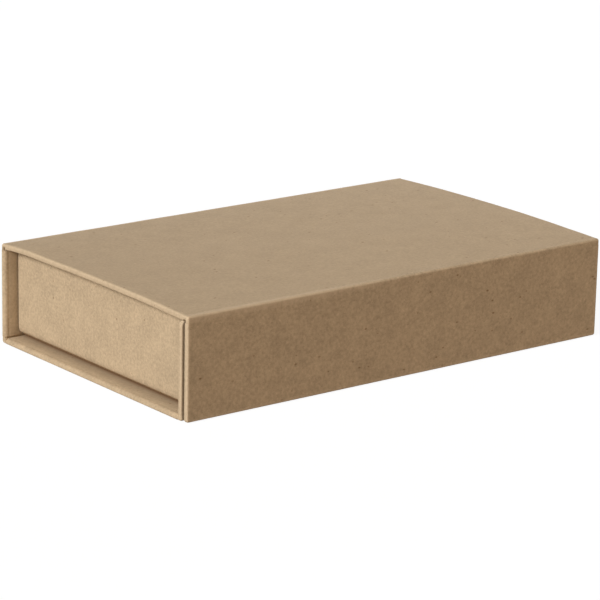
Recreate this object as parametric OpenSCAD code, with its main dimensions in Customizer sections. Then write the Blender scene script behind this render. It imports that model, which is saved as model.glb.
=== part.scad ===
// A book-style magnetic gift box. A case of wrapped boards folds round two end walls that are set
// back from its ends, and a front flap hangs from the lid and closes on hidden magnets.
// Millimetres. X runs along the box, the flap faces -Y, +Z is up, and the origin is the middle of
// the footprint on the table. The lid and flap are closed.

/* [Box] */
// Length over the ends of the case
box_l = 225; // [160:1:320]
// Depth from the flap's face to the spine's face
box_w = 139; // [110:1:240]
// Height to the lid's outer face along its edges
box_h = 45; // [35:1:110]
// How far the middle of the lid rises above its front and rear edges
lid_crown = 1.3; // [0.2:0.1:2]

/* [Board and paper] */
// Thickness of the grey board in every panel
board_t = 2; // [1.4:0.1:3]
// Thickness of the kraft paper
paper_t = 0.15; // [0.1:0.01:0.3]
// Width of outer paper turned in on a panel's inner face
turn_in = 15; // [8:1:18]
// Distance of a lining sheet from a panel's free edges
liner_margin = 2.5; // [1:0.5:6]

/* [Folds] */
// Slack between the two boards at each fold
fold_slack = 0.55; // [0.3:0.05:1.5]
// Radius of the outer corner of each fold
fold_corner = 1; // [0.6:0.1:2.2]
// Layers of paper pasted together in a fold
fold_layers = 3; // [2:1:4]
// Width of a fold's closed ends, where the outer paper is turned in
fold_end = 1.2; // [0.6:0.1:3]

/* [Flap] */
// Gap between the closed flap and the front wall
flap_gap = 1.7; // [0.8:0.1:3]
// Height of the flap's lower edge above the table
flap_lift = 0.4; // [0.3:0.1:4]

/* [End walls] */
// Distance of each end wall from the end of the case
end_recess = 6.3; // [3:0.1:20]
// Gap between an end wall and the spine or the front wall
end_gap = 0.8; // [0.4:0.1:2]
// Gap under an end wall, which its paper strip bridges
foot_gap = 2.2; // [0.4:0.1:4]
// Clearance between the tops of the walls and the closed lid
lid_clear = 0.3; // [0.2:0.05:1]
// Leg of the paper strip that hinges an end wall to the floor
foot_leg = 10; // [6:1:14]

/* [Corner tabs] */
// Length of a tab along the front wall or the spine
tab_long = 18; // [12:1:30]
// Length of a tab along the end wall
tab_short = 12; // [8:1:20]
// Thickness of a tab's card
tab_t = 0.5; // [0.3:0.05:1]
// Corners cut off a tab's free end
tab_cut = 5; // [1:0.5:8]
// Room above and below a tab
tab_room = 1.5; // [0.5:0.5:4]
// Thickness of the double-sided tape behind a tab
tape_t = 0.15; // [0.1:0.01:0.4]
// Distance of the tape from the tab's edges
tape_inset = 1.5; // [0.5:0.5:4]

/* [Magnets] */
// Diameter of a magnet disc
magnet_d = 10; // [6:0.5:14]
// How much thinner a magnet is than the board it sits in
magnet_slack = 0.4; // [0.1:0.1:0.8]
// Room round a magnet in its hole
magnet_fit = 0.1; // [0.05:0.05:0.3]
// Distance between the two magnets of a panel
magnet_pitch = 120; // [60:1:140]
// Height of the magnets above the table
magnet_z = 22; // [12:1:28]

/* [Hidden] */
$fn = 96;
// Straight steps across a crowned panel
crown_steps = 16;
// Largest share of a panel's width that the paper turned in at one edge may take
turn_share = 0.35;
// Largest share of a tab's height and length that one cut corner may take
cut_share = 0.3;
// Smallest radius inside a fold
least_r = 0.1;
// Extra depth of a hole past each face of its board
cut_over = 1;

kraft = [0.69, 0.59, 0.47];
kraft_lining = [0.72, 0.62, 0.50];
grey_board = [0.55, 0.53, 0.50];
nickel = [0.76, 0.76, 0.78];
white_tape = [0.93, 0.92, 0.88];

// Thickness of a panel at a wrapped edge, and with its lining sheet
edge_t = board_t + 2 * paper_t;
panel_t = edge_t + paper_t;
fold_r = panel_t + fold_slack;
fold_t = fold_layers * paper_t;
corner_r = min(fold_corner, fold_r - edge_t / 2);
magnet_t = board_t - magnet_slack;

// Outer faces of the flap, the front wall and the spine
flap_y = -box_w / 2;
wall_y = flap_y + panel_t + flap_gap;
spine_y = box_w / 2;
// Inner faces of the front wall, the spine and the floor
front_in = wall_y + panel_t;
spine_in = spine_y - panel_t;
floor_z = panel_t;
// Top edge of the front wall and the end walls
wall_top = box_h - panel_t - lid_clear;
// Outer and inner faces of the end walls, and the middle of their width
end_x = box_l / 2 - end_recess;
end_in = end_x - panel_t;
end_mid_y = (front_in + spine_in) / 2;
// Lower edge and height of a corner tab, and the cut at its corners
tab_z = floor_z + foot_leg + tab_room;
tab_h = wall_top - tab_room - tab_z;
corner_cut = min(tab_cut, tab_h * cut_share, tab_long * cut_share);

// Panels: length, width, paper turned in at the near edge, at the far edge, rise of the crown
base_panel = [box_l, spine_y - wall_y - 2 * fold_r, false, false, 0];
spine_panel = [box_l, box_h - 2 * fold_r, false, false, 0];
wall_panel = [box_l, wall_top - fold_r, false, true, 0];
lid_panel = [box_l, box_w - 2 * fold_r, false, false, lid_crown];
flap_panel = [box_l, box_h - fold_r - flap_lift, true, false, 0];
end_panel = [spine_in - front_in - 2 * end_gap, wall_top - floor_z - foot_gap, true, true, 0];

// Rise of a crowned panel at the distance v from its near edge
function bow(panel, v) = panel[4] * (1 - pow(2 * v / panel[1] - 1, 2));

// Width of paper turned in on a panel
function turned(panel) = min(turn_in, panel[1] * turn_share);

// A distance that counts only at an edge with paper turned in
function at_near(panel, d) = panel[2] ? d : 0;
function at_far(panel, d) = panel[1] - (panel[3] ? d : 0);

// A layer of a panel, inset from its ends and its wrapped edges, from depth w0 to w1
module layer(panel, inset, w0, w1) {
    half_l = panel[0] / 2 - inset;
    slab(panel, -half_l, half_l, at_near(panel, inset), at_far(panel, inset), w0, w1);
}

// A slab of a panel: x0 to x1 along it, v0 to v1 across it, w0 to w1 below its outer face
module slab(panel, x0, x1, v0, v1, w0, w1) {
    steps = panel[4] > 0 ? crown_steps : 1;
    across = [for (i = [0:steps]) v0 + (v1 - v0) * i / steps];
    outer = [for (v = across) [v, w0 - bow(panel, v)]];
    inner = [for (i = [steps:-1:0]) [across[i], w1 - bow(panel, across[i])]];
    translate([x0, 0, 0])
        rotate([90, 0, 90])
            linear_extrude(x1 - x0)
                polygon(concat(outer, inner));
}

// The board of a panel
module board(panel) {
    color(grey_board)
        layer(panel, paper_t, paper_t, paper_t + board_t);
}

// The outer paper of a panel: its face, and the borders that go round the free edges and turn in
module wrap(panel) {
    half_l = panel[0] / 2;
    color(kraft)
        union() {
            layer(panel, 0, 0, paper_t);
            for (side = [-1, 1]) {
                wrap_end(panel, side, paper_t, 0);
                wrap_end(panel, side, turned(panel), edge_t - paper_t);
            }
            if (panel[2]) {
                slab(panel, -half_l, half_l, 0, paper_t, 0, edge_t);
                slab(panel, -half_l, half_l, 0, turned(panel), edge_t - paper_t, edge_t);
            }
            if (panel[3]) {
                slab(panel, -half_l, half_l, panel[1] - paper_t, panel[1], 0, edge_t);
                slab(panel, -half_l, half_l, panel[1] - turned(panel), panel[1], edge_t - paper_t, edge_t);
            }
        }
}

// A border of the outer paper at one end of a panel, from depth w0 to the turned-in face
module wrap_end(panel, side, width, w0) {
    outer = side * panel[0] / 2;
    inner = side * (panel[0] / 2 - width);
    slab(panel, min(outer, inner), max(outer, inner), 0, panel[1], w0, edge_t);
}

// The lining sheet of a panel, which fills the field inside the turned-in borders
module liner(panel) {
    color(kraft_lining)
        union() {
            layer(panel, liner_margin, edge_t, panel_t);
            layer(panel, turned(panel), edge_t - paper_t, edge_t);
        }
}

// Discs at the two magnet places of a panel whose near edge is at height z0
module magnet_discs(z0, w0, d, h) {
    for (side = [-1, 1])
        translate([side * magnet_pitch / 2, magnet_z - z0, w0])
            cylinder(d = d, h = h);
}

// A panel's board with holes for its magnets
module holed_board(panel, z0) {
    difference() {
        board(panel);
        magnet_discs(z0, paper_t - cut_over, magnet_d + 2 * magnet_fit, board_t + 2 * cut_over);
    }
}

// A square from the origin to reach, with its far corner rounded
module square_corner(reach, r) {
    union() {
        square([reach, reach - r]);
        square([reach - r, reach]);
        translate([reach - r, reach - r])
            circle(r);
    }
}

// The paper round a corner, t thick, from x0 to x1 in the quadrant that side_y and side_z name
module fold_length(x0, x1, t, side_y, side_z) {
    translate([x0, 0, 0])
        rotate([90, 0, 90])
            linear_extrude(x1 - x0)
                mirror([side_y < 0 ? 1 : 0, 0, 0])
                    mirror([0, side_z < 0 ? 1 : 0, 0])
                        difference() {
                            square_corner(fold_r, corner_r);
                            square_corner(fold_r - t, max(corner_r - t, least_r));
                        }
}

// A paper fold along the box, round the point y, z, closed at both ends
module fold_strip(y, z, side_y, side_z) {
    half_l = box_l / 2;
    color(kraft)
        translate([0, y, z])
            union() {
                fold_length(-half_l, half_l, fold_t, side_y, side_z);
                fold_length(-half_l, fold_end - half_l, edge_t, side_y, side_z);
                fold_length(half_l - fold_end, half_l, edge_t, side_y, side_z);
            }
}

// Places of the panels: x along the box, the width from the near edge, the depth inwards
module on_base() {
    translate([0, wall_y + fold_r, 0])
        children();
}

module on_spine() {
    translate([0, spine_y, fold_r])
        rotate([90, 0, 0])
            children();
}

module on_front_wall() {
    translate([0, wall_y, fold_r])
        rotate([90, 0, 180])
            children();
}

module on_lid() {
    translate([0, spine_y - fold_r, box_h])
        rotate([180, 0, 0])
            children();
}

module on_flap() {
    translate([0, flap_y, flap_lift])
        rotate([90, 0, 180])
            children();
}

// side is -1 at the left end and 1 at the right end
module on_end(side) {
    translate([side * end_x, end_mid_y, floor_z + foot_gap])
        rotate([90, 0, -90 * side])
            children();
}

// An inner corner of the box, with local x and y pointing into it, at side_x and side_y
module in_corner(side_x, side_y) {
    translate([side_x * end_in, side_y > 0 ? spine_in : front_in, 0])
        mirror([side_x > 0 ? 1 : 0, 0, 0])
            mirror([0, side_y > 0 ? 1 : 0, 0])
                children();
}

// The paper strip in the corner between an end wall's inner face and the floor
module end_foot(side) {
    foot_len = end_panel[0];
    color(kraft_lining)
        translate([side * end_in, end_mid_y - foot_len / 2, floor_z])
            mirror([side > 0 ? 1 : 0, 0, 0])
                union() {
                    cube([foot_leg, foot_len, paper_t]);
                    cube([paper_t, foot_len, foot_leg]);
                }
}

// The card tab in a corner: a long leg with cut corners on the front wall or spine, and a short one
// on the end wall
module corner_tab(side_x, side_y) {
    color(kraft)
        in_corner(side_x, side_y)
            union() {
                translate([0, tape_t + tab_t, tab_z])
                    rotate([90, 0, 0])
                        linear_extrude(tab_t)
                            polygon([
                                [0, 0], [tab_long - corner_cut, 0], [tab_long, corner_cut],
                                [tab_long, tab_h - corner_cut], [tab_long - corner_cut, tab_h], [0, tab_h]
                            ]);
                translate([0, tape_t, tab_z])
                    cube([tab_t, tab_short, tab_h]);
            }
}

// The tape between a tab and the front wall or spine
module corner_tape(side_x, side_y) {
    color(white_tape)
        in_corner(side_x, side_y)
            translate([tape_inset, 0, tab_z + tape_inset])
                cube([tab_long - corner_cut - tape_inset, tape_t, tab_h - 2 * tape_inset]);
}

module base_board() { on_base() board(base_panel); }
module base_wrap() { on_base() wrap(base_panel); }
module base_liner() { on_base() liner(base_panel); }
module front_floor_fold() { fold_strip(wall_y + fold_r, fold_r, -1, -1); }
module rear_floor_fold() { fold_strip(spine_y - fold_r, fold_r, 1, -1); }

module spine_board() { on_spine() board(spine_panel); }
module spine_wrap() { on_spine() wrap(spine_panel); }
module spine_liner() { on_spine() liner(spine_panel); }

module front_wall_board() { on_front_wall() holed_board(wall_panel, fold_r); }
module front_wall_wrap() { on_front_wall() wrap(wall_panel); }
module front_wall_liner() { on_front_wall() liner(wall_panel); }
module front_wall_magnets() {
    color(nickel)
        on_front_wall()
            magnet_discs(fold_r, paper_t, magnet_d, magnet_t);
}

module lid_board() { on_lid() board(lid_panel); }
module lid_wrap() { on_lid() wrap(lid_panel); }
module lid_liner() { on_lid() liner(lid_panel); }
module lid_fold() { fold_strip(spine_y - fold_r, box_h - fold_r, 1, 1); }

module flap_board() { on_flap() holed_board(flap_panel, flap_lift); }
module flap_wrap() { on_flap() wrap(flap_panel); }
module flap_liner() { on_flap() liner(flap_panel); }
module flap_fold() { fold_strip(flap_y + fold_r, box_h - fold_r, -1, 1); }
module flap_magnets() {
    color(nickel)
        on_flap()
            magnet_discs(flap_lift, paper_t + board_t - magnet_t, magnet_d, magnet_t);
}

module left_end_board() { on_end(-1) board(end_panel); }
module left_end_wrap() { on_end(-1) wrap(end_panel); }
module left_end_liner() { on_end(-1) liner(end_panel); }
module left_end_foot() { end_foot(-1); }
module left_front_tab() { corner_tab(-1, -1); }
module left_rear_tab() { corner_tab(-1, 1); }
module left_front_tape() { corner_tape(-1, -1); }
module left_rear_tape() { corner_tape(-1, 1); }

module right_end_board() { on_end(1) board(end_panel); }
module right_end_wrap() { on_end(1) wrap(end_panel); }
module right_end_liner() { on_end(1) liner(end_panel); }
module right_end_foot() { end_foot(1); }
module right_front_tab() { corner_tab(1, -1); }
module right_rear_tab() { corner_tab(1, 1); }
module right_front_tape() { corner_tape(1, -1); }
module right_rear_tape() { corner_tape(1, 1); }

base_board();
base_wrap();
base_liner();
front_floor_fold();
rear_floor_fold();
spine_board();
spine_wrap();
spine_liner();
front_wall_board();
front_wall_wrap();
front_wall_liner();
front_wall_magnets();
lid_board();
lid_wrap();
lid_liner();
lid_fold();
flap_board();
flap_wrap();
flap_liner();
flap_fold();
flap_magnets();
left_end_board();
left_end_wrap();
left_end_liner();
left_end_foot();
left_front_tab();
left_rear_tab();
left_front_tape();
left_rear_tape();
right_end_board();
right_end_wrap();
right_end_liner();
right_end_foot();
right_front_tab();
right_rear_tab();
right_front_tape();
right_rear_tape();
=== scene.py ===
import math

import bmesh
import bpy
from mathutils import Matrix, Vector, noise


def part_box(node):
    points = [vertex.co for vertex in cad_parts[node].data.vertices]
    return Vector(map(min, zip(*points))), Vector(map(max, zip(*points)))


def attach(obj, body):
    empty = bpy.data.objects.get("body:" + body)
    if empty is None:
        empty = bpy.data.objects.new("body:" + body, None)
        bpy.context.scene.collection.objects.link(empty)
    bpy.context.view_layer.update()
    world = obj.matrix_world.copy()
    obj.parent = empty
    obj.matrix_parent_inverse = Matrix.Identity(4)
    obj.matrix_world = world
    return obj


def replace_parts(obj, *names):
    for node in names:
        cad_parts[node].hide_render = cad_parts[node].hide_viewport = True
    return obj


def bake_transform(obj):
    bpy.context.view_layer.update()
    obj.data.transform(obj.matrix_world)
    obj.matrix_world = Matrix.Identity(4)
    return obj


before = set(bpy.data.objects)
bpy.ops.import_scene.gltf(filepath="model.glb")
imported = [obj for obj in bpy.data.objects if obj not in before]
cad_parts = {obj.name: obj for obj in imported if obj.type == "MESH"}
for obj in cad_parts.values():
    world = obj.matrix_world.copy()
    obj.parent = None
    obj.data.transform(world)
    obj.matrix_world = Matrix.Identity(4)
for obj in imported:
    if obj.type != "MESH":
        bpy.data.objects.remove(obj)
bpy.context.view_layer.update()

# Lengths are in millimetres until place() turns them into metres.
MM = 0.001
X, Y, Z = Vector((1, 0, 0)), Vector((0, 1, 0)), Vector((0, 0, 1))

# Paper, and the most and the largest share of a panel that the outer sheet is turned in on its inner face.
PAPER = 0.15
TURN_IN = 15
TURN_SHARE = 0.35
# How far in from a panel's ends its outer paper also covers the edges that lie at folds.
FOLD_COVER = 4.0

# Grid lines on half of a rounded edge, the next ones beyond it, and the share of a step kept clear of marks.
ROUND_STEPS = 4
NEAR_EDGE = (0.35, 1.1, 2.4)
MARK_ROOM = 0.3
# Steps of the grids on papers and linings, on boards, on folds, and on a lining beside magnets.
STEPS = {"base": 6, "lid": 3.5, "spine": 3, "front_wall": 3, "flap": 3, "left_end": 3, "right_end": 3}
CORE_STEP = 8
FOLD_STEP = 3.5
RING_STEP = 1.6

# Unevenness of a panel: the rates of its broad and fine waves, the fine ones' share, and its fade at folds.
BROAD_X, BROAD_V, FINE = 0.021, 0.027, 0.09
FINE_SHARE = 0.25
PANEL_SEED, FINE_SEED = 5.3, 9
WAVE_FADE = 14
# The lid stands up more near its left end, beside the spine: how much, where, and how far that goes.
LIFT, LIFT_AT, LIFT_WIDE, LIFT_LONG = 0.55, 17.0, 15.0, 70.0
LIFT_EASE = 5
# How far the foot of an end wall is pressed in, how high that goes, and grid lines at shares of that height.
TUCK = 0.9
TUCK_HIGH = 3.0
TUCK_LINES = (0.55, 0.8)

# Folds: radii of the edges at their ends and of their corner, and thickness where empty and where filled.
OUTER_R = 0.9
FOLD_IN_R = 0.5
FOLD_CORNER = 1.0
FOLD_T = 0.45
FILLED_T = 2.0
# Closed ends of the folds: width, easing and its grid lines, and thickness on the lid's two folds.
PLUG_X = 1.2
PLUG_EASE = 0.7
PLUG_LINES = (0.0, 0.35, 0.65, 1.0)
LID_PLUG, FLAP_PLUG = 1.45, 1.8
# Grid lines round a fold: shares of its straight stretch, and steps on its bend.
STRAIGHT_LINES = (0, 0.07, 0.5, 0.92)
BEND_STEPS = 10
# Waves along a fold's corner: height and rate of the long and of the short ones.
LONG_WAVE, LONG_RATE = 0.05, 0.045
SHORT_WAVE, SHORT_RATE, SHORT_SEED = 0.02, 0.2, 4

# Linings: distance from free edges, dip inside the turned-in borders, pressed cut edges, and lips at folds.
LINER_MARGIN = 2.5
LINER_DIP, DIP_EASE = 0.1, 1.2
PRESSED, PRESSED_BY = 0.8, 0.11
LIP_LOW, LIP_R, LIP_STEPS = 0.55, 0.3, 4
# Magnets, their seats in the boards, and the ring and swell that show in the lining over them.
MAGNET_D = 10
MAGNET_FIT = 0.1
SEAT_CUT, SEAT_SIDES = 8, 48
RING_HIGH, RING_WIDE = 0.05, 0.9
SWELL_HIGH, SWELL_EASE = 0.03, 1.5
# Painted shade on the floor's lining at the end walls, standing in for the shade in the gap under them, by
# the distance in from their faces.
PAINTED_SHADE_FAINT, PAINTED_SHADE_STRONG, PAINTED_SHADE_FULL, PAINTED_SHADE_FADE, PAINTED_SHADE_END = -4, 1, 5, 7, 10
PAINTED_SHADE_FAINT_SHARE = 0.2
PAINTED_SHADE_LINES = range(-3, 12)

# Paler edges of the outer paper, partly wear and partly painted highlight: their reach from edges and folds,
# their share at folds, and how far inner edges lag.
EDGE_REACH, FOLD_REACH = 1.1, 1.2
FOLD_WEAR_AND_HIGHLIGHT = 0.6
INNER_LAG = 0.8
# The painted highlight on the lid's front fold fades towards the right, where its light falls off: the least
# share, and where the fade begins and ends.
FRONT_LEAST, FRONT_FROM, FRONT_TO = 0.35, 40, -50

# Foot strips: bend, grid steps on the legs, the bend and the length, and the lift of their loose edges.
FOOT_BEND = 2.4
FOOT_FLAT, FOOT_ROUND, FOOT_ROWS = 5, 9, 44
FOOT_LOOSE, FOOT_LIFT = 0.55, 0.18
RUFFLE_RATE, RUFFLE_GROUP, RUFFLE_SEED = 0.06, 8, 7.0
# Painted shade darkens a foot strip in its bend, where it lies in the dark gap under the wall, and fades out
# this many bends away.
FOOT_SHADE, FOOT_SHADE_REACH = 0.8, 1.6

# Corner tabs: card, cut corners, bend, grid lines near the tip, and grid steps on legs, bend and height.
TAB_T = 0.5
TAB_CUT = 5.0
TAB_BEND = 1.2
TAB_TIP = (0.25, 1.2, 2.6, 4)
TAB_FLAT, TAB_ROUND, TAB_ROWS = 5, 5, 14


def span(node_name):
    """Lowest and highest corner of a CAD node, in millimetres."""
    lo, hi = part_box(node_name)
    return lo / MM, hi / MM


# Thickness of a panel without its lining, and how far the middle of the lid stands above its folds.
PANEL_T = span("base_wrap")[1].z
CROWN = span("lid_wrap")[1].z - span("lid_fold")[1].z
# Reach of a fold from its corner, and the share of its way that is straight at each side of the bend.
FOLD_R = span("lid_fold")[1].z - span("lid_fold")[0].z
FOLD_BEND = (FOLD_R - FOLD_CORNER) / (2 * (FOLD_R - FOLD_CORNER) + FOLD_CORNER * math.pi / 2)


def smooth(a, b, t):
    """0 before a, 1 after b, and an even rise between."""
    t = min(max((t - a) / (b - a), 0), 1)
    return t * t * (3 - 2 * t)


class Panel:
    """A wrapped board: x along it, v across it from its near edge, w inwards from its outer face.

    It lies where the CAD node of its outer paper is. near and far say whether those edges are free."""

    def __init__(self, name, body, along, across, near, far, radii, corner, crown, wave, rub, seed):
        self.name, self.body = name, body
        self.along, self.across, self.inward = along, across, along.cross(across)
        self.near, self.far, self.radii, self.corner = near, far, radii, corner
        self.crown, self.wave, self.rub, self.seed = crown, wave, rub, seed
        lo, hi = span(name + "_wrap")
        hi.z -= crown
        self.length, self.width = (abs((hi - lo).dot(d)) for d in (along, across))
        self.thick = PANEL_T
        self.origin = (lo + hi) / 2 - across * (self.width / 2)
        for axis, way in enumerate(self.inward):
            if way:
                self.origin[axis] = lo[axis] if way > 0 else hi[axis]
        self.turn = min(TURN_IN, TURN_SHARE * self.width)
        self.tuck = TUCK if near and far else 0

    def rise(self, x, v):
        """How far the panel stands out here: its crown, and its unevenness, which fades at the folds."""
        crown = self.crown * (1 - (2 * v / self.width - 1) ** 2)
        fade = 1
        if not self.near:
            fade *= smooth(0, WAVE_FADE, v)
        if not self.far:
            fade *= smooth(0, WAVE_FADE, self.width - v)
        broad = noise.noise(Vector((x * BROAD_X, v * BROAD_V, self.seed)))
        fine = noise.noise(Vector((x * FINE, v * FINE, self.seed + FINE_SEED)))
        return crown + self.lift(x, v) + fade * self.wave * (broad + FINE_SHARE * fine)

    def lift(self, x, v):
        """How much more a crowned panel stands up near its left end."""
        if not self.crown:
            return 0
        across = LIFT * math.exp(-((v - LIFT_AT) / LIFT_WIDE) ** 2) * smooth(0, LIFT_EASE, v)
        return across * smooth(LIFT_LONG, 0, x + self.length / 2)

    def cut_corner(self, x, v):
        """Moves a point near a free corner of the panel on to the rounded corner."""
        a = abs(x) - (self.length / 2 - self.corner)
        for free, edge, away in ((self.near, 0, 1), (self.far, self.width, -1)):
            b = self.corner - (v - edge) * away
            if free and a > 0 and b > 0:
                k = max(a, b) / math.hypot(a, b)
                return math.copysign(abs(x) - a + a * k, x), v + away * (b - b * k)
        return x, v

    def place(self, x, v, w):
        """A point of the panel in the frame, in metres."""
        x, v = self.cut_corner(x, v)
        pressed = self.tuck * max(1 - v / TUCK_HIGH, 0) ** 2 * max(1 - w / self.thick, 0)
        flat = self.origin + self.along * x + self.across * v
        return (flat + self.inward * (w + pressed - self.rise(x, v))) * MM


class Fold:
    """A paper fold round a corner: x along it, v the share of its way from direction a to b, w inwards."""

    def __init__(self, name, y, z, a, b, half, middle, plug, seed):
        self.name, self.centre, self.a, self.b = name, Vector((0, y, z)), a, b
        self.half, self.middle, self.plug, self.seed = half, middle, plug, seed

    def depth(self, x):
        """Thickness of the fold: the paper's layers, and more at its ends, where the paper is turned in."""
        end = smooth(self.half - PLUG_X - PLUG_EASE, self.half - PLUG_X, abs(x))
        return self.middle + (self.plug - self.middle) * end

    def place(self, x, v, w):
        """A point of the fold in the frame, in metres."""
        share = w / PANEL_T
        inner_reach = FOLD_R - PANEL_T
        outer_path = corner_path(FOLD_R, FOLD_CORNER, v)
        inner_path = corner_path(inner_reach, inner_reach / 2, v)
        uneven = LONG_WAVE * noise.noise(Vector((x * LONG_RATE, self.seed, 0)))
        uneven += SHORT_WAVE * noise.noise(Vector((x * SHORT_RATE, self.seed, SHORT_SEED)))
        wave = math.sin(math.pi * v) * uneven
        a, b = (o + (i - o) * share + wave for o, i in zip(outer_path, inner_path))
        return (self.centre + X * x + self.a * a + self.b * b) * MM


def corner_path(reach, r, v):
    """A point on a square corner whose tip is rounded: v is the share of the way round it."""
    straight = reach - r
    if v < FOLD_BEND:
        return reach, straight * v / FOLD_BEND
    if v > 1 - FOLD_BEND:
        return straight * (1 - v) / FOLD_BEND, reach
    turn = (v - FOLD_BEND) / (1 - 2 * FOLD_BEND) * math.pi / 2
    return straight + r * math.cos(turn), straight + r * math.sin(turn)


def arc_places(r):
    """Distances from a sharp edge whose points, when the edge is rounded, lie evenly on half of its arc."""
    return [r * (1 - math.tan(math.pi / 4 * (1 - k / ROUND_STEPS))) for k in range(ROUND_STEPS + 1)]


def samples(lo, hi, r_lo, r_hi, step, marks=()):
    """Grid places from lo to hi, close together at ends with rounded edges, with each mark among them.

    r_lo and r_hi list the radii of the edges there, and are empty at an end that isn't rounded."""
    def end(radii):
        arcs = sorted({0.0} | {round(d, 4) for r in radii for d in arc_places(r)})
        return arcs + [arcs[-1] + d for d in NEAR_EDGE]
    first = [lo + d for d in end(r_lo)]
    last = [hi - d for d in reversed(end(r_hi))]
    count = max(1, round((last[0] - first[-1]) / step))
    inside = [first[-1] + (last[0] - first[-1]) * i / count for i in range(1, count)]
    inside = [p for p in inside if all(abs(p - m) > step * MARK_ROOM for m in marks)]
    return sorted({round(p, 6) for p in first + inside + last + list(marks)})


def depth_places(w0, w1, r_out, r_in):
    """Grid places through a block's thickness: only those on its rounded edges."""
    outside = {round(w0 + d, 4) for d in arc_places(r_out)}
    inside = {round(w1 - d, 4) for d in arc_places(r_in)}
    return sorted(outside | inside)


def box_grid(xs, vs, ws, keep):
    """Squares on the faces of a block, as index triples. keep(side, i, j) says which of them are made."""
    nx, nv, nw = len(xs) - 1, len(vs) - 1, len(ws) - 1
    for i in range(nx):
        for j in range(nv):
            if keep("outer", i, j):
                yield (i, j, 0), (i, j + 1, 0), (i + 1, j + 1, 0), (i + 1, j, 0)
            if keep("inner", i, j):
                yield (i, j, nw), (i + 1, j, nw), (i + 1, j + 1, nw), (i, j + 1, nw)
        for k in range(nw):
            if keep("near", i, k):
                yield (i, 0, k), (i + 1, 0, k), (i + 1, 0, k + 1), (i, 0, k + 1)
            if keep("far", i, k):
                yield (i, nv, k), (i, nv, k + 1), (i + 1, nv, k + 1), (i + 1, nv, k)
    for j in range(nv):
        for k in range(nw):
            if keep("left", j, k):
                yield (0, j, k), (0, j, k + 1), (0, j + 1, k + 1), (0, j + 1, k)
            if keep("right", j, k):
                yield (nx, j, k), (nx, j + 1, k), (nx, j + 1, k + 1), (nx, j, k + 1)


def side_outlines(xs, vs, ws, near, far, reach=None):
    """Outlines, as index triples, of a block's near and far sides that aren't rounded.

    With a reach, each side has two outlines instead of one: those of its ends, that far in."""
    nx, nw = len(xs) - 1, len(ws) - 1
    parts = [(0, nx)]
    if reach:
        left = sum(x <= xs[0] + reach for x in xs) - 1
        right = nx + 1 - sum(x >= xs[-1] - reach for x in xs)
        parts = [(0, left), (right, nx)]
    for j, rounded in ((0, near), (len(vs) - 1, far)):
        for first, last in [] if rounded else parts:
            outline = [(i, j, 0) for i in range(first, last + 1)]
            outline += [(nx, j, k) for k in range(1, nw) if last == nx]
            outline += [(i, j, nw) for i in range(last, first - 1, -1)]
            outline += [(0, j, k) for k in range(nw - 1, 0, -1) if first == 0]
            yield outline[::-1] if j else outline


def rounder(lo, hi, near, far, r_out, r_in):
    """A function that moves a point of a sharp block on to the block with rounded edges.

    The edges on the outer face have the radius r_out and those on the inner face r_in. near and far say
    whether the block is rounded at those sides too."""
    middle = (lo.z + r_out + hi.z - r_in) / 2

    def rounded(p):
        r = r_out if p.z < middle else r_in
        first = (lo.x + r, lo.y + r * near, lo.z + r_out)
        last = (hi.x - r, hi.y - r * far, hi.z - r_in)
        centre = Vector([min(max(c, a), b) for c, a, b in zip(p, first, last)])
        off = p - centre
        return centre + off * (r / off.length) if off.length > 1e-9 else p
    return rounded


def grid_mesh(xs, vs, ws, keep, shape, place, wear_and_highlight=None, caps=()):
    """A bmesh of the kept squares and of flat caps, each point shaped and then placed, and its wear and
    painted highlight noted.
    """
    bm = bmesh.new()
    layer = bm.verts.layers.float.new("wear_and_highlight")
    made = {}
    for square in box_grid(xs, vs, ws, keep):
        corners = []
        for key in square:
            if key not in made:
                p = Vector((xs[key[0]], vs[key[1]], ws[key[2]]))
                made[key] = bm.verts.new(place(*shape(p)))
                made[key][layer] = wear_and_highlight(p) if wear_and_highlight else 0
            corners.append(made[key])
        bm.faces.new(corners)
    for outline in caps:
        bm.faces.new([made[key] for key in outline])
    return bm


def thicken(bm, thickness):
    """Turns an open skin into a closed sheet that lies under it."""
    bm.normal_update()
    skin = list(bm.faces)
    rim = [e.link_loops[0] for e in bm.edges if e.is_boundary]
    rim = [(loop.vert, loop.link_loop_next.vert) for loop in rim]
    under = {}
    for v in list(bm.verts):
        under[v] = bm.verts.new(v.co - v.normal * (thickness * v.calc_shell_factor()))
    for a, b in rim:
        bm.faces.new((b, a, under[a], under[b]))
    for f in skin:
        bm.faces.new([under[v] for v in reversed(f.verts)])


def sheet_mesh(points, normals, thickness):
    """A closed sheet whose seen face is a grid of points, with the given normals."""
    bm = bmesh.new()
    bm.verts.layers.float.new("wear_and_highlight")
    top = [[bm.verts.new(p * MM) for p in row] for row in points]
    low = [[bm.verts.new((p - n * thickness) * MM) for p, n in zip(*rows)] for rows in zip(points, normals)]
    rows, cols = len(points) - 1, len(points[0]) - 1
    for i in range(rows):
        for j in range(cols):
            bm.faces.new((top[i][j], top[i + 1][j], top[i + 1][j + 1], top[i][j + 1]))
            bm.faces.new((low[i][j], low[i][j + 1], low[i + 1][j + 1], low[i + 1][j]))
    for i in range(rows):
        bm.faces.new((top[i][0], low[i][0], low[i + 1][0], top[i + 1][0]))
        bm.faces.new((top[i][cols], top[i + 1][cols], low[i + 1][cols], low[i][cols]))
    for j in range(cols):
        bm.faces.new((top[0][j], top[0][j + 1], low[0][j + 1], low[0][j]))
        bm.faces.new((top[rows][j], low[rows][j], low[rows][j + 1], top[rows][j + 1]))
    bmesh.ops.recalc_face_normals(bm, faces=bm.faces)
    return bm


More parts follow.
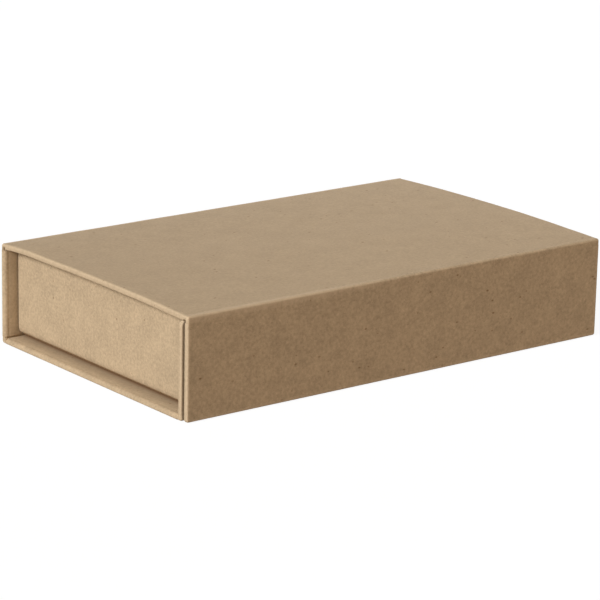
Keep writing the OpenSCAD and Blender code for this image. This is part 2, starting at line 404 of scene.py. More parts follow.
def piece(name, bm, material, sharp=40):
    """A finished piece of the object, smooth but for the edges that are sharper than an angle in degrees."""
    mesh = bpy.data.meshes.new(name)
    bm.to_mesh(mesh)
    bm.free()
    mesh.polygons.foreach_set("use_smooth", [True] * len(mesh.polygons))
    mesh.set_sharp_from_angle(angle=math.radians(sharp))
    mesh.materials.append(material)
    obj = bpy.data.objects.new(name, mesh)
    bpy.context.scene.collection.objects.link(obj)
    return obj


def front_rub(x):
    """How pale the front fold of the lid is painted along its length: a painted highlight, strongest in its
    left half.
    """
    return FRONT_LEAST + (1 - FRONT_LEAST) * smooth(FRONT_FROM, FRONT_TO, x)


def edge_wear_and_highlight(panel):
    """A function that says how pale the outer paper is at a point, partly wear and partly painted highlight:
    most on free edges, less at folds.
    """
    sides = [lambda p: p.x + panel.length / 2, lambda p: panel.length / 2 - p.x]
    if panel.near:
        sides.append(lambda p: p.y)
    if panel.far:
        sides.append(lambda p: panel.width - p.y)
    faces = [lambda p: p.z, lambda p: panel.thick - p.z + INNER_LAG]

    # The lid's front fold: its painted highlight fades towards the right.
    def far_rub(p):
        return 1 if panel.body == "box" else front_rub(panel.along.x * p.x)

    folds = []
    if not panel.near:
        folds.append(lambda p: math.exp(-p.y / FOLD_REACH))
    if not panel.far:
        folds.append(lambda p: math.exp((p.y - panel.width) / FOLD_REACH) * far_rub(p))

    def wear_and_highlight(p):
        away = [s(p) + f(p) for s in sides for f in faces]
        away += [a(p) + b(p) for n, a in enumerate(sides) for b in sides[n + 1:]]
        most = math.exp(-max(min(away) - panel.radii[0], 0) / EDGE_REACH)
        if p.z < panel.thick / 2:
            most = max([most] + [FOLD_WEAR_AND_HIGHLIGHT * f(p) for f in folds])
        return most * panel.rub
    return wear_and_highlight


def outer_paper(panel, step, material):
    """The kraft sheet of a panel: its face, its rounded edges, and borders turned in on the inner face."""
    half = panel.length / 2
    win_x = half - panel.turn
    win_near = panel.turn if panel.near else -1
    win_far = panel.width - panel.turn if panel.far else panel.width + 1
    radii = panel.radii
    xs = samples(-half, half, radii, radii, step, (-win_x, win_x))
    marks = [m for m in (win_near, win_far) if 0 < m < panel.width]
    marks += [TUCK_HIGH * t for t in TUCK_LINES if panel.tuck]
    vs = samples(0, panel.width, radii * panel.near, radii * panel.far, step, marks)
    ws = depth_places(0, panel.thick, *radii)

    def keep(side, i, j):
        if side == "inner":
            x, v = (xs[i] + xs[i + 1]) / 2, (vs[j] + vs[j + 1]) / 2
            return not (abs(x) < win_x and win_near < v < win_far)
        return {"near": panel.near, "far": panel.far}.get(side, True)

    lo, hi = Vector((-half, 0, 0)), Vector((half, panel.width, panel.thick))
    shape = rounder(lo, hi, panel.near, panel.far, *radii)
    caps = side_outlines(xs, vs, ws, panel.near, panel.far, FOLD_COVER)
    bm = grid_mesh(xs, vs, ws, keep, shape, panel.place, edge_wear_and_highlight(panel), caps)
    thicken(bm, PAPER * MM)
    obj = piece(panel.name + "_paper", bm, material)
    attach(obj, panel.body)
    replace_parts(obj, panel.name + "_wrap")


def core(panel, step, material):
    """The grey board of a panel, its edges a little crushed by cutting."""
    radii = tuple(r - PAPER for r in panel.radii)
    lo = Vector((PAPER - panel.length / 2, PAPER, PAPER))
    hi = Vector((panel.length / 2 - PAPER, panel.width - PAPER, panel.thick - PAPER))
    xs = samples(lo.x, hi.x, radii, radii, step)
    vs = samples(lo.y, hi.y, radii * panel.near, radii * panel.far, step)
    ws = depth_places(lo.z, hi.z, *radii)
    shape = rounder(lo, hi, panel.near, panel.far, *radii)
    sides = {"near": panel.near, "far": panel.far}
    caps = side_outlines(xs, vs, ws, panel.near, panel.far)
    bm = grid_mesh(xs, vs, ws, lambda side, *at: sides.get(side, True), shape, panel.place, None, caps)
    obj = piece(panel.name + "_core", bm, material)
    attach(obj, panel.body)
    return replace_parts(obj, panel.name + "_board")


def drill(obj, centres, depth_dir):
    """Cuts the seats of the magnets through a board."""
    radius = (MAGNET_D / 2 + MAGNET_FIT) * MM
    for n, centre in enumerate(centres):
        bm = bmesh.new()
        bmesh.ops.create_cone(
            bm, cap_ends=True, segments=SEAT_SIDES, depth=SEAT_CUT * MM, radius1=radius, radius2=radius,
            matrix=Matrix.Translation(centre) @ depth_dir.to_track_quat("Z", "Y").to_matrix().to_4x4(),
        )
        mesh = bpy.data.meshes.new(f"cutter_{n}")
        bm.to_mesh(mesh)
        bm.free()
        cutter = bpy.data.objects.new(f"cutter_{n}", mesh)
        bpy.context.scene.collection.objects.link(cutter)
        cut = obj.modifiers.new("seat", "BOOLEAN")
        cut.operation, cut.solver, cut.object = "DIFFERENCE", "EXACT", cutter
        graph = bpy.context.evaluated_depsgraph_get()
        done = bpy.data.meshes.new_from_object(obj.evaluated_get(graph))
        obj.modifiers.clear()
        old, obj.data = obj.data, done
        bpy.data.meshes.remove(old)
        bpy.data.objects.remove(cutter)
        bpy.data.meshes.remove(mesh)


def lining_profile(panel, step, v0, v1):
    """Places across a lining with their normals: level from v0 to v1, and down into the folds beside it."""
    top = panel.thick + PAPER
    upright = (LIP_LOW, (LIP_LOW + top) / 2, top - LIP_R)
    arc = [math.pi / 2 * k / LIP_STEPS for k in range(1, LIP_STEPS)]
    lip = [(LIP_R * math.cos(a), top - LIP_R + LIP_R * math.sin(a), math.cos(a), math.sin(a)) for a in arc]
    profile = []
    if not panel.near:
        profile += [(-PAPER, w, -1, 0) for w in upright]
        profile += [(v0 - d, w, -nv, nw) for d, w, nv, nw in lip]
    count = round((v1 - v0) / step)
    across = {v0 + (v1 - v0) * i / count for i in range(count + 1)}
    across |= {v0 + PRESSED} if panel.near else set()
    across |= {v1 - PRESSED} if panel.far else set()
    profile += [(v, top, 0, 1) for v in sorted(across)]
    if not panel.far:
        profile += [(v1 + d, w, nv, nw) for d, w, nv, nw in reversed(lip)]
        profile += [(panel.width + PAPER, w, 1, 0) for w in reversed(upright)]
    return profile


def lining_dip(panel, half, v0, v1, rings):
    """A function that says how far a lining sinks: inside the borders under it, and at its cut edges."""
    def dip(x, v):
        inside = [panel.length / 2 - panel.turn - abs(x)]
        edges = [half - abs(x)] + [v - v0] * panel.near + [v1 - v] * panel.far
        if panel.near:
            inside.append(v - panel.turn)
        if panel.far:
            inside.append(panel.width - panel.turn - v)
        sunk = LINER_DIP * smooth(-DIP_EASE, DIP_EASE, min(inside))
        sunk += PRESSED_BY * smooth(PRESSED, 0, min(edges))
        for cx, cv in rings:
            away = math.hypot(x - cx, v - cv) - MAGNET_D / 2
            sunk -= RING_HIGH * math.exp(-(away / RING_WIDE) ** 2) + SWELL_HIGH * smooth(0, -SWELL_EASE, away)
        return sunk
    return dip


def painted_floor_shade(inside):
    """How dark the painted shade makes the floor's lining, so far in from an end wall's face: it stands in
    for the shade under the wall.
    """
    faint = PAINTED_SHADE_FAINT_SHARE * smooth(PAINTED_SHADE_FAINT, PAINTED_SHADE_STRONG, inside)
    strong = (1 - PAINTED_SHADE_FAINT_SHARE) * smooth(PAINTED_SHADE_STRONG, PAINTED_SHADE_FULL, inside)
    return (faint + strong) * smooth(PAINTED_SHADE_END, PAINTED_SHADE_FADE, inside)


def lining(panel, step, material, rings=(), feet=None):
    """The lining sheet of a panel, with marks of the magnets under it.

    feet is how far from the middle end walls stand on it, where painted shade darkens it."""
    half = panel.length / 2 - LINER_MARGIN
    v0 = LINER_MARGIN if panel.near else LIP_R - PAPER
    v1 = panel.width - (LINER_MARGIN if panel.far else LIP_R - PAPER)
    profile = lining_profile(panel, step, v0, v1)
    dip = lining_dip(panel, half, v0, v1, rings)
    count = round(2 * half / step)
    xs = {-half + 2 * half * i / count for i in range(count + 1)} | {PRESSED - half, half - PRESSED}
    if feet:
        xs |= {side * (feet - d) for side in (-1, 1) for d in PAINTED_SHADE_LINES}
    points, normals = [], []
    for x in sorted(xs):
        level = [w - (dip(x, v) if nw == 1 else 0) for v, w, _, nw in profile]
        points.append([panel.place(x, across[0], w) / MM for across, w in zip(profile, level)])
        normals.append([panel.across * nv + panel.inward * nw for _, _, nv, nw in profile])
    bm = sheet_mesh(points, normals, PAPER)
    # Painted shade: darkens the lining where the gap under each end wall lies in shade.
    if feet:
        shade = bm.verts.layers.float.new("shade")
        for vert in bm.verts:
            vert[shade] = painted_floor_shade(feet - abs(vert.co.x) / MM)
    obj = piece(panel.name + "_lining", bm, material, sharp=50)
    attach(obj, panel.body)
    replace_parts(obj, panel.name + "_liner")


def crease(fold, step, material, node_name):
    """The paper of a fold, full at its ends and thin between, so that the boards leave a gutter inside."""
    deep = fold.plug
    radii = (OUTER_R, FOLD_IN_R)
    eased = [s * (fold.half - PLUG_X - PLUG_EASE * t) for s in (-1, 1) for t in PLUG_LINES]
    xs = samples(-fold.half, fold.half, radii, radii, step, eased)
    straight = [FOLD_BEND * t for t in STRAIGHT_LINES]
    bend = [FOLD_BEND + (1 - 2 * FOLD_BEND) * i / BEND_STEPS for i in range(BEND_STEPS + 1)]
    vs = straight + bend + [1 - v for v in reversed(straight)]
    ws = depth_places(0, deep, *radii)
    round_off = rounder(Vector((-fold.half, 0, 0)), Vector((fold.half, 1, deep)), False, False, *radii)

    def shape(p):
        q = round_off(p)
        return q.x, q.y, q.z * fold.depth(q.x) / deep

    # Paler paper round the fold's outside, partly wear and partly painted highlight.
    def wear_and_highlight(p):
        if p.z >= deep / 2:
            return 0
        # Painted highlight on the lid's front fold, fading towards the right.
        rubbed = front_rub(p.x) if node_name == "flap_fold" else 1
        return (FOLD_WEAR_AND_HIGHLIGHT + (1 - FOLD_WEAR_AND_HIGHLIGHT) * math.sin(math.pi * p.y)) * rubbed

    caps = side_outlines(xs, vs, ws, False, False)
    bm = grid_mesh(xs, vs, ws, lambda side, *at: side not in ("near", "far"), shape, fold.place, wear_and_highlight, caps)
    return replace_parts(piece(fold.name, bm, material, sharp=50), node_name)


def end_foot(side, name, node_name):
    """The paper strip that hinges an end wall to the floor: soft at its fold, and lifting at its edges."""
    lo, hi = span(node_name)
    leg = hi.z - lo.z
    corner_x = hi.x if side > 0 else lo.x
    inward = -X * side
    flat = [leg - (leg - FOOT_BEND) * i / FOOT_FLAT for i in range(FOOT_FLAT + 1)]
    profile = [(u, 0.0, 0.0, 1.0) for u in flat]
    for k in range(1, FOOT_ROUND):
        s, c = math.sin(math.pi / 2 * k / FOOT_ROUND), math.cos(math.pi / 2 * k / FOOT_ROUND)
        profile.append((FOOT_BEND - FOOT_BEND * s, FOOT_BEND - FOOT_BEND * c, s, c))
    profile += [(0.0, z, 1.0, 0.0) for z in reversed(flat)]
    points, normals = [], []
    for i in range(FOOT_ROWS + 1):
        start = Vector((corner_x, lo.y + (hi.y - lo.y) * i / FOOT_ROWS, lo.z))
        row = []
        for n, (u, z, nu, nz) in enumerate(profile):
            edge = smooth(FOOT_LOOSE, 1.0, max(u, z) / leg)
            at = Vector((start.y * RUFFLE_RATE, n // RUFFLE_GROUP, RUFFLE_SEED * side))
            lift = PAPER + FOOT_LIFT * edge * (0.5 + 0.5 * noise.noise(at))
            row.append(start + inward * (u + nu * lift) + Z * (z + nz * lift))
        points.append(row)
        normals.append([inward * nu + Z * nz for _, _, nu, nz in profile])
    bm = sheet_mesh(points, normals, PAPER)
    # Painted shade in the strip's bend, which stands in the dark gap under the end wall.
    shade = bm.verts.layers.float.new("shade")
    for vert in bm.verts:
        away = abs(vert.co.x / MM - corner_x) + vert.co.z / MM - lo.z
        vert[shade] = FOOT_SHADE * smooth(FOOT_SHADE_REACH * FOOT_BEND, FOOT_BEND, away)
    obj = piece(name, bm, inner, sharp=60)
    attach(obj, "box")
    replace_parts(obj, node_name)


def corner_tab(side_x, side_y, name, node_name):
    """A card tab in a corner: a long leg with cut corners on the wall, a short one on the end wall."""
    lo, hi = span(node_name)
    long_leg, short_leg, tall = hi.x - lo.x, hi.y - lo.y, hi.z - lo.z
    corner = Vector((hi.x if side_x > 0 else lo.x, hi.y if side_y > 0 else lo.y, lo.z))
    to_x, to_y = -X * side_x, -Y * side_y
    uncut = long_leg - TAB_CUT
    along = [long_leg - d for d in (*TAB_TIP, TAB_CUT)]
    along += [uncut - (uncut - TAB_BEND) * i / TAB_FLAT for i in range(1, TAB_FLAT + 1)]
    profile = [(u, TAB_T, 0.0, 1.0) for u in along]
    for k in range(1, TAB_ROUND):
        s, c = math.sin(math.pi / 2 * k / TAB_ROUND), math.cos(math.pi / 2 * k / TAB_ROUND)
        profile.append((TAB_BEND - (TAB_BEND - TAB_T) * s, TAB_BEND - (TAB_BEND - TAB_T) * c, s, c))
    short = [TAB_BEND + (short_leg - TAB_BEND) * i / TAB_FLAT for i in range(TAB_FLAT + 1)]
    profile += [(TAB_T, d, 1.0, 0.0) for d in short]
    points, normals = [], []
    for i in range(TAB_ROWS + 1):
        row = []
        for u, d, _, _ in profile:
            trim = max(0.0, TAB_CUT - (long_leg - u)) if u > TAB_BEND else 0.0
            z = trim + (tall - 2 * trim) * i / TAB_ROWS
            row.append(corner + to_x * u + to_y * d + Z * z)
        points.append(row)
        normals.append([to_x * nu + to_y * nd for _, _, nu, nd in profile])
    obj = piece(name, sheet_mesh(points, normals, TAB_T), card, sharp=60)
    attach(obj, "box")
    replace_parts(obj, node_name)


# In all materials: shares of a shift along x, y and z, and the strength of bumps.
SHIFT_WAYS = (1.0, 0.7, 1.3)
BUMP_STRENGTH = 0.5


def node(tree, kind, inputs=None, **settings):
    """A shader node with its settings and inputs; an input is a value or another node's output."""
    made = tree.nodes.new(kind)
    for key, value in settings.items():
        setattr(made, key, value)
    for key, value in (inputs or {}).items():
        if isinstance(value, bpy.types.NodeSocket):
            tree.links.new(value, made.inputs[key])
        else:
            made.inputs[key].default_value = value
    return made


def maths(tree, operation, a, b=0.0, c=0.0):
    return node(tree, "ShaderNodeMath", {0: a, 1: b, 2: c}, operation=operation).outputs[0]


def remap(tree, value, lo, hi, to_lo=0.0, to_hi=1.0):
    settings = {"Value": value, "From Min": lo, "From Max": hi, "To Min": to_lo, "To Max": to_hi}
    return node(tree, "ShaderNodeMapRange", settings, interpolation_type="SMOOTHSTEP").outputs[0]


def noise_of(tree, coords, scale, detail, rough):
    settings = {"Vector": coords, "Scale": scale, "Detail": detail, "Roughness": rough}
    return node(tree, "ShaderNodeTexNoise", settings).outputs[0]


def mapped(tree, coords, **settings):
    inputs = {"Vector": coords, **settings}
    return node(tree, "ShaderNodeMapping", inputs).outputs[0]


def mix_colour(tree, factor, a, b):
    """The result of a colour mix; a and b are colours or outputs."""
    return node(tree, "ShaderNodeMix", {0: factor, 6: a, 7: b}, data_type="RGBA").outputs[2]


def blank(name):
    """An empty material with a shader: its tree and the shader node."""
    mat = bpy.data.materials.new(name)
    mat.use_nodes = True
    tree = mat.node_tree
    tree.nodes.clear()
    shader = tree.nodes.new("ShaderNodeBsdfPrincipled")
    out = tree.nodes.new("ShaderNodeOutputMaterial")
    tree.links.new(shader.outputs[0], out.inputs[0])
    return mat, tree, shader


def in_mm(tree, shift):
    """The piece's own coordinates in millimetres, shifted so that no two papers look alike."""
    coords = tree.nodes.new("ShaderNodeTexCoord").outputs["Object"]
    return mapped(tree, coords, Location=[shift * way for way in SHIFT_WAYS], Scale=(1 / MM,) * 3)


def roughen(tree, shader, height, deep):
    """Lets a height of 0 to 1, so many millimetres deep, show in the light on a shader."""
    settings = {"Height": height, "Strength": BUMP_STRENGTH, "Distance": deep * MM}
    bump = node(tree, "ShaderNodeBump", settings)
    tree.links.new(bump.outputs[0], shader.inputs["Normal"])


# Noise in kraft paper: scale per millimetre, detail and roughness.
CLOUD_NOISE = (0.11, 3.0, 0.5)
CLUMP_NOISE = (0.8, 4.0, 0.62)
TOOTH_NOISE = (3.2, 3.0, 0.6)
FIBRE_NOISE = (1.0, 2.0, 0.55)
# Fibres: the three ways they lie, how far they are drawn out, how they wander, and which noise shows.
FIBRE_TURNS = ((0.3, 0.2, 0.4), (0.9, 0.5, -0.6), (0.2, 1.3, 1.5))
FIBRE_DRAWN = (0.28, 2.6, 2.6)
WANDER, WANDER_NOISE = 7.0, {"Scale": 0.22, "Detail": 1.0}
LIGHT_FIBRE, DARK_FIBRE = (0.64, 0.76), (0.36, 0.24)
# Specks: how they lie, how many per millimetre, radii and soft rims, which cells have one, and strength.
SPECK_TURN, SPECK_DRAWN, SPECK_RATE = (0.2, 0.5, 0.3), (0.6, 1.0, 1.0), 0.3
SPECK_R, SPECK_RIM, SPECK_CELLS, SPECK_MOST = (0.04, 0.16), (1.0, 0.55), (0.35, 0.6), 0.75
# How much clouds, clumps and fibres change the paper's tone, and tooth and fibres its height.
CLOUD_TONE, CLUMP_TONE, LIGHT_TONE, DARK_TONE = 0.16, 0.44, 0.10, -0.13
TOOTH_HIGH, LIGHT_HIGH, DARK_HIGH = 0.5, 0.35, -0.25
KRAFT_DEEP = 0.06
# Paler edges, partly worn paper and partly painted highlight: how much the clumps break them up, and where on
# the mask they start, end and how strong they get.
PALE_EDGE_CLUMPS, PALE_EDGE_FROM, PALE_EDGE_TO, PALE_EDGE_MOST = 0.7, 0.35, 1.15, 0.8
# Colours of specks, of paler edges (partly worn paper, partly painted highlight) and of painted shade, as
# shares of the paper's colour.
SPECK_TINT, PALE_EDGE_TINT, PAINTED_SHADE_TINT = (0.45, 0.36, 0.28), (1.25, 1.28, 1.33), (0.42, 0.27, 0.14)
# Sheen of kraft paper: least roughness and what the clumps add, reflection, sheen and its roughness.
KRAFT_ROUGH, CLUMP_ROUGH = 0.78, 0.16
KRAFT_SHINE = {"Specular IOR Level": 0.12, "Sheen Weight": 0.02, "Sheen Roughness": 0.6}


def fibres(tree, mm):
    """Light and dark marks of the paper's fibres: noise drawn out along three directions that wander."""
    swirl = node(tree, "ShaderNodeTexNoise", {"Vector": mm, **WANDER_NOISE}).outputs["Color"]
    wander = node(tree, "ShaderNodeVectorMath", {0: swirl, "Scale": WANDER}, operation="SCALE").outputs[0]
    bent = node(tree, "ShaderNodeVectorMath", {0: mm, 1: wander}, operation="ADD").outputs[0]
    laid = [mapped(tree, bent, Rotation=turn, Scale=FIBRE_DRAWN) for turn in FIBRE_TURNS]
    first, second, third = (noise_of(tree, coords, *FIBRE_NOISE) for coords in laid)
    most = maths(tree, "MAXIMUM", maths(tree, "MAXIMUM", first, second), third)
    least = maths(tree, "MINIMUM", maths(tree, "MINIMUM", first, second), third)
    return remap(tree, most, *LIGHT_FIBRE), remap(tree, least, *DARK_FIBRE)


def specks(tree, mm):
    """Where the paper has dark specks, each in a cell of its own and with its own size and strength."""
    drawn = mapped(tree, mm, Rotation=SPECK_TURN, Scale=SPECK_DRAWN)
    settings = {"Vector": drawn, "Scale": SPECK_RATE, "Randomness": 1.0}
    cells = node(tree, "ShaderNodeTexVoronoi", settings, feature="F1").outputs
    pick = node(tree, "ShaderNodeSeparateColor", {0: cells["Color"]}).outputs
    radius = remap(tree, pick[0], 0.0, 1.0, *SPECK_R)
    spot = remap(tree, maths(tree, "DIVIDE", cells["Distance"], radius), *SPECK_RIM)
    return maths(tree, "MULTIPLY", spot, remap(tree, pick[1], *SPECK_CELLS, 0.0, SPECK_MOST))


def kraft(name, colour, shift, mottle):
    """Uncoated kraft paper: cloudy, with fibres light and dark, dark specks, paler edges that are partly wear
    and partly painted highlight, and painted shade where the shade attribute says.
    """
    def shaded(tint):
        return (*(c * t for c, t in zip(colour, tint)), 1)

    mat, tree, shader = blank(name)
    mm = in_mm(tree, shift)
    cloud, clumps, tooth = (noise_of(tree, mm, *n) for n in (CLOUD_NOISE, CLUMP_NOISE, TOOTH_NOISE))
    light, dark = fibres(tree, mm)

    tone = maths(tree, "MULTIPLY_ADD", cloud, CLOUD_TONE * mottle, 1.0 - CLOUD_TONE / 2 * mottle)
    clumped = maths(tree, "MULTIPLY_ADD", clumps, CLUMP_TONE * mottle, -CLUMP_TONE / 2 * mottle)
    tone = maths(tree, "ADD", tone, clumped)
    tone = maths(tree, "MULTIPLY_ADD", light, LIGHT_TONE * mottle, tone)
    tone = maths(tree, "MULTIPLY_ADD", dark, DARK_TONE * mottle, tone)
    toned = node(tree, "ShaderNodeVectorMath", {0: colour, "Scale": tone}, operation="SCALE").outputs[0]
    spotted = mix_colour(tree, specks(tree, mm), toned, shaded(SPECK_TINT))

    # Paler edges and folds, partly wear and partly painted highlight.
    pale_edge = node(tree, "ShaderNodeAttribute", attribute_name="wear_and_highlight").outputs["Fac"]
    broken = maths(tree, "MULTIPLY_ADD", clumps, PALE_EDGE_CLUMPS, -PALE_EDGE_CLUMPS / 2)
    pale_edge = remap(tree, maths(tree, "ADD", pale_edge, broken), PALE_EDGE_FROM, PALE_EDGE_TO, 0.0, PALE_EDGE_MOST)
    rubbed = mix_colour(tree, pale_edge, spotted, shaded(PALE_EDGE_TINT))
    # Painted shade: the shade attribute darkens the paper where it lies in shade.
    painted_shade = node(tree, "ShaderNodeAttribute", attribute_name="shade").outputs["Fac"]
    shown = mix_colour(tree, painted_shade, rubbed, shaded(PAINTED_SHADE_TINT))
    tree.links.new(shown, shader.inputs["Base Color"])

    rough = maths(tree, "MULTIPLY_ADD", clumps, CLUMP_ROUGH, KRAFT_ROUGH)
    tree.links.new(rough, shader.inputs["Roughness"])
    height = maths(tree, "MULTIPLY_ADD", tooth, TOOTH_HIGH, clumps)
    height = maths(tree, "MULTIPLY_ADD", light, LIGHT_HIGH, height)
    height = maths(tree, "MULTIPLY_ADD", dark, DARK_HIGH, height)
    roughen(tree, shader, height, KRAFT_DEEP)
    for key, value in KRAFT_SHINE.items():
        shader.inputs[key].default_value = value
    return mat


# Flecks in board, tape and metal: their noise, how they gather, which of it shows, and their roughness.
FLECK_SHIFT = 3.0
FLECK_BROAD, FLECK_FINE = (2.0, 0.5), (4.0, 0.6)
FLECK_GATHER, FLECK_GATHER_RATE = 0.4, 0.2
FLECK_RANGE, FLECK_MOST = (0.55, 0.9), 0.3
FLECK_ROUGH = 0.2


def flecked(name, colour, flecks, rough, scale, deep, metal=0.0):
    """A plain stuff with flecks of a second colour, uneven roughness and a fine bump."""
    mat, tree, shader = blank(name)
    mm = in_mm(tree, FLECK_SHIFT)
    broad = noise_of(tree, mm, scale * FLECK_GATHER_RATE, *FLECK_BROAD)
    fine = noise_of(tree, mm, scale, *FLECK_FINE)
    gathered = maths(tree, "MULTIPLY_ADD", broad, FLECK_GATHER, fine)
    share = remap(tree, gathered, *FLECK_RANGE, 0.0, FLECK_MOST)
    tree.links.new(mix_colour(tree, share, (*colour, 1), (*flecks, 1)), shader.inputs["Base Color"])
    uneven = maths(tree, "MULTIPLY_ADD", fine, FLECK_ROUGH, rough - FLECK_ROUGH / 2)
    tree.links.new(uneven, shader.inputs["Roughness"])
    roughen(tree, shader, fine, deep)
    shader.inputs["Metallic"].default_value = metal
    return mat


KRAFT = (0.449, 0.342, 0.222)
LINING = (0.468, 0.36, 0.236)
outer = kraft("kraft_outer", KRAFT, shift=0.0, mottle=1.95)
smoother = kraft("kraft_lid", KRAFT, shift=23.0, mottle=1.05)
inner = kraft("kraft_lining", LINING, shift=61.0, mottle=1.3)
card = kraft("tab_card", KRAFT, shift=137.0, mottle=1.1)
board = flecked("grey_board", (0.27, 0.25, 0.22), (0.13, 0.12, 0.11), rough=0.9, scale=1.4, deep=0.08)
tape = flecked("tape", (0.78, 0.76, 0.68), (0.6, 0.57, 0.48), rough=0.45, scale=0.5, deep=0.02)
nickel = flecked("magnet", (0.62, 0.61, 0.6), (0.42, 0.41, 0.4), rough=0.32, scale=2.0, deep=0.01, metal=1.0)

# Name, body, along, across, near and far edge free, edge radii, corner radius, crown, unevenness, and paler
# edges of wear and painted highlight.
PANELS = (
    ("base", "box", X, Y, False, False, (0.6, 1.65), 0, 0, 0, 0.45),
    ("spine", "box", X, Z, False, False, (0.6, 1.65), 0, 0, 0.12, 0.7),
    ("front_wall", "box", -X, Z, False, True, (0.6, 0.6), 2.2, 0, 0.05, 1.0),
    ("lid", "lid", X, -Y, False, False, (OUTER_R, 0.4), 0, CROWN, 0.16, 0.75),
    ("flap", "flap", -X, Z, True, False, (0.7, 0.5), 1.0, 0, 0.05, 1.0),
    ("left_end", "box", Y, Z, True, True, (0.8, 0.6), 0, 0, 0.12, 0.4),
    ("right_end", "box", -Y, Z, True, True, (0.8, 0.6), 0, 0, 0.12, 0.4),
)
panels = {row[0]: Panel(*row, PANEL_SEED * n) for n, row in enumerate(PANELS)}


def magnet_centres(name):
    """The middles of the two magnets in a panel's board."""
    lo, hi = span(name + "_magnets")
    mid = (lo + hi) / 2
    reach = (hi.x - lo.x - MAGNET_D) / 2
    return [Vector((s * reach, mid.y, mid.z)) for s in (-1, 1)]


for name, panel in panels.items():
    outer_paper(panel, STEPS[name], smoother if name == "lid" else outer)
    magnets = magnet_centres(name) if name in ("front_wall", "flap") else []
    rings = [(c.x, c.z - panel.origin.z) for c in magnets if name == "flap"]
    feet = abs(panels["left_end"].origin.x) if name == "base" else None
    lining(panel, RING_STEP if magnets else STEPS[name], inner, rings, feet)
    stiff = core(panel, CORE_STEP, board)
    if magnets:
        drill(stiff, [c * MM for c in magnets], panel.inward)


def make_folds():
    """The four folds of the case by their CAD nodes, in the room that the panels leave at its corners."""
    lid, base = panels["lid"], panels["base"]
    half = lid.length / 2
    low, high = FOLD_R, lid.origin.z - FOLD_R
    rear, front = base.origin.y + base.width, base.origin.y
    return {
        "rear_floor_fold": Fold("rear_floor_crease", rear, low, -Z, Y, half, FILLED_T, PANEL_T, 1.0),
        "front_floor_fold": Fold("front_floor_crease", front, low, -Y, -Z, half, FILLED_T, PANEL_T, 2.0),
        "lid_fold": Fold("lid_crease", lid.origin.y, high, Y, Z, half, FOLD_T, LID_PLUG, 3.0),
        "flap_fold": Fold("flap_crease", lid.origin.y - lid.width, high, Z, -Y, half, FOLD_T, FLAP_PLUG, 4.0),
    }


for cad, fold in make_folds().items():
    made = crease(fold, FOLD_STEP, outer, cad)
    if cad.endswith("floor_fold"):
        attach(made, "box")
        continue
    fold.place(0, 0, 0)
    fold.place(0, 1, 0)
    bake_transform(made)

for side, end in ((-1, "left"), (1, "right")):
    end_foot(side, end + "_foot_strip", end + "_end_foot")
    for side_y, place in ((-1, "front"), (1, "rear")):
        corner_tab(side, side_y, f"{end}_{place}_corner", f"{end}_{place}_tab")

for cad_name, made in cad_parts.items():
    if cad_name.endswith("_tape") or cad_name.endswith("_magnets"):
        made.data.materials.clear()
        made.data.materials.append(tape if cad_name.endswith("_tape") else nickel)

# The white floor: half its width in metres, its colour to the camera and to other light, and its own glow.
FLOOR_HALF = 6.0
FLOOR_SEEN, FLOOR_BOUNCE = (0.93, 0.93, 0.93, 1), (0.34, 0.29, 0.235, 1)
FLOOR_GLOW, FLOOR_GLOW_SHARE = 1.04, 0.9
# The light of the room round the box, and the white background that the camera sees.
ROOM = {"Color": (1.0, 0.86, 0.7, 1), "Strength": 0.2}
BACKGROUND = {"Color": (1, 1, 1, 1), "Strength": 1.0}
# Lamps: where they shine from, strength, apparent size in degrees, and colour.
LAMPS = {
    "left_softbox": ((-0.868, -0.12, 0.478), 3.5, 20, (1.0, 1.0, 1.0)),
    "front_fill": ((-0.1, -1.0, 0.06), 1.0, 60, (1.0, 0.735, 0.55)),
    "rear_fill": ((0.75, 0.66, 0.06), 1.6, 25, (1.0, 0.95, 0.9)),
}


def seen_rays(tree):
    """1 for what the camera sees, also in a mirror or through glass, and 0 for other light."""
    path = tree.nodes.new("ShaderNodeLightPath").outputs
    turned = maths(tree, "MAXIMUM", path["Is Glossy Ray"], path["Is Transmission Ray"])
    return maths(tree, "MAXIMUM", path["Is Camera Ray"], turned)


def white_ground(name):
    """White to the camera, with the object's shadow left on it, and darker and warmer to other light."""
    mat = bpy.data.materials.new(name)
    mat.use_nodes = True
    tree = mat.node_tree
    tree.nodes.clear()
    seen = seen_rays(tree)
    colour = mix_colour(tree, seen, FLOOR_BOUNCE, FLOOR_SEEN)
    diffuse = node(tree, "ShaderNodeBsdfDiffuse", {"Color": colour}).outputs[0]
    glow = node(tree, "ShaderNodeEmission", {"Color": (1, 1, 1, 1), "Strength": FLOOR_GLOW}).outputs[0]
    share = maths(tree, "MULTIPLY", seen, FLOOR_GLOW_SHARE)
    mixed = node(tree, "ShaderNodeMixShader", {0: share, 1: diffuse, 2: glow}).outputs[0]
    out = tree.nodes.new("ShaderNodeOutputMaterial")
    tree.links.new(mixed, out.inputs[0])
    return mat


def make_floor():
    mesh = bpy.data.meshes.new("floor")
    corners = [(x * FLOOR_HALF, y * FLOOR_HALF, 0) for x, y in ((-1, -1), (1, -1), (1, 1), (-1, 1))]
    mesh.from_pydata(corners, [], [(0, 1, 2, 3)])
    mesh.materials.append(white_ground("floor"))
    floor = bpy.data.objects.new("floor", mesh)
    bpy.context.scene.collection.objects.link(floor)


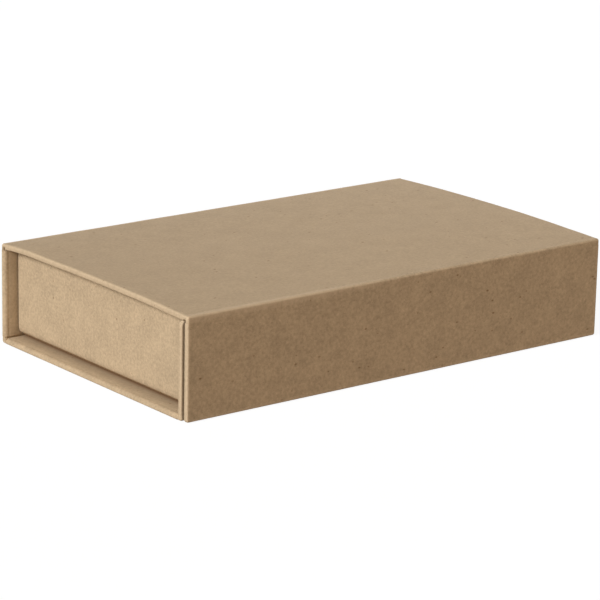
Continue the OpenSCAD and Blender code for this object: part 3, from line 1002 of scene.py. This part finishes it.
def make_world():
    """A white background to the camera, and a dim warm room to other light."""
    world = bpy.data.worlds.new("studio")
    bpy.context.scene.world = world
    world.use_nodes = True
    tree = world.node_tree
    tree.nodes.clear()
    room = node(tree, "ShaderNodeBackground", ROOM).outputs[0]
    white = node(tree, "ShaderNodeBackground", BACKGROUND).outputs[0]
    mixed = node(tree, "ShaderNodeMixShader", {0: seen_rays(tree), 1: room, 2: white}).outputs[0]
    out = tree.nodes.new("ShaderNodeOutputWorld")
    tree.links.new(mixed, out.inputs[0])


def lamp(name, direction, strength, angle, colour):
    """A soft far lamp that shines from the given direction."""
    data = bpy.data.lights.new(name, "SUN")
    data.energy, data.angle, data.color = strength, math.radians(angle), colour
    obj = bpy.data.objects.new(name, data)
    obj.rotation_euler = Vector(direction).to_track_quat("Z", "Y").to_euler()
    bpy.context.scene.collection.objects.link(obj)


# The camera that fits the photograph's edges: focal length in pixels, angles in degrees, the rest in mm.
FOCAL_PX, FRAME_PX, SENSOR = 2906.16, 600, 36.0
AZIMUTH, ELEVATION, ROLL = (math.radians(a) for a in (-38.126, 15.777, 1.182))
SHIFT_R, SHIFT_U, DISTANCE = 1.159, 4.34, 1283.04
AIM = Vector((0, 0, 22.5))
# The nearest and farthest that the camera sees, in metres.
CLIP = (0.01, 100)


def make_camera():
    """A camera that looks at the aim from its azimuth and elevation, rolled and shifted."""
    ahead = Vector((math.sin(AZIMUTH), -math.cos(AZIMUTH), 0))
    back = ahead * math.cos(ELEVATION) + Z * math.sin(ELEVATION)
    level = (-back).cross(Z).normalized()
    upright = level.cross(-back)
    right = level * math.cos(ROLL) + upright * math.sin(ROLL)
    up = upright * math.cos(ROLL) - level * math.sin(ROLL)
    eye = (AIM - right * SHIFT_R - up * SHIFT_U + back * DISTANCE) * MM
    data = bpy.data.cameras.new("camera")
    data.sensor_width, data.lens = SENSOR, FOCAL_PX * SENSOR / FRAME_PX
    data.clip_start, data.clip_end = CLIP
    camera = bpy.data.objects.new("camera", data)
    camera.matrix_world = Matrix.Translation(eye) @ Matrix((right, up, back)).transposed().to_4x4()
    bpy.context.scene.collection.objects.link(camera)
    bpy.context.scene.camera = camera


make_floor()
make_world()
for name, settings in LAMPS.items():
    lamp(name, *settings)
make_camera()
bpy.context.scene.view_settings.view_transform = "Standard"
